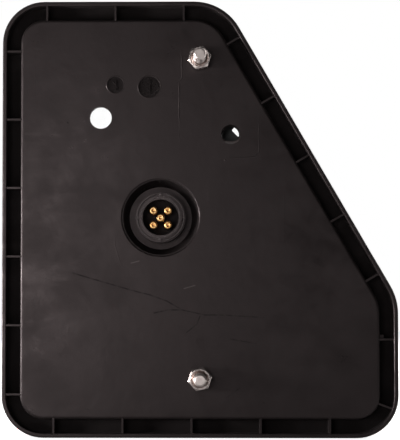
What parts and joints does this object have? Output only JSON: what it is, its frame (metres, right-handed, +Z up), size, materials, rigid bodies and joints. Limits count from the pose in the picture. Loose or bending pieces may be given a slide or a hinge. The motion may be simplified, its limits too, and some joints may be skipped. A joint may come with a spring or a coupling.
{
  "type": "rear combination lamp",
  "caption": "Rear combination lamp with slanted side, black moulded back, fixing studs and nuts, round pin socket, and red, amber and clear lens with a triangle reflector",
  "frame": {"origin": "Midway between the two fixing studs, on the flat back plane that lies against the vehicle", "axes": "+Z up along the line of the studs, -Y out of the back the way the studs point, +Y forward to the lens, +X to the right as the back is looked at"},
  "size_m": [0.188, 0.0705, 0.208],
  "materials": {
    "housing_black": "satin",
    "lens_red": "gloss",
    "lens_amber": "gloss",
    "lens_clear": "gloss",
    "reflector_red": "gloss",
    "seal_rubber": "matte",
    "steel_screws": "satin",
    "carrier_black": "matte",
    "socket_black": "satin",
    "brass_pins": "satin",
    "brass_strips": "satin",
    "holder_steel": "satin",
    "bulb_glass": "gloss",
    "zinc_steel": "satin"
  },
  "bodies": {
    "root": {"rear_housing": "housing_black", "lens_red": "lens_red", "lens_amber": "lens_amber", "lens_clear": "lens_clear", "triangle_reflector": "reflector_red", "lens_seal": "seal_rubber", "lens_screws": "steel_screws", "bulb_carrier": "carrier_black", "carrier_screws": "steel_screws", "connector_socket": "socket_black", "connector_seal": "seal_rubber", "pin_centre": "brass_pins", "pin_upper_left": "brass_pins", "pin_upper_right": "brass_pins", "pin_lower_left": "brass_pins", "pin_lower_right": "brass_pins", "strip_earth": "brass_strips", "strip_reverse": "brass_strips", "strip_indicator": "brass_strips", "strip_stop": "brass_strips", "strip_tail": "brass_strips", "holder_reverse": "holder_steel", "holder_indicator": "holder_steel", "holder_tail_stop": "holder_steel", "bulb_reverse": "bulb_glass", "bulb_indicator": "bulb_glass", "bulb_tail_stop": "bulb_glass", "stud_upper": "zinc_steel", "stud_lower": "zinc_steel", "nut_upper": "zinc_steel", "nut_lower": "zinc_steel"}
  },
  "joints": []
}
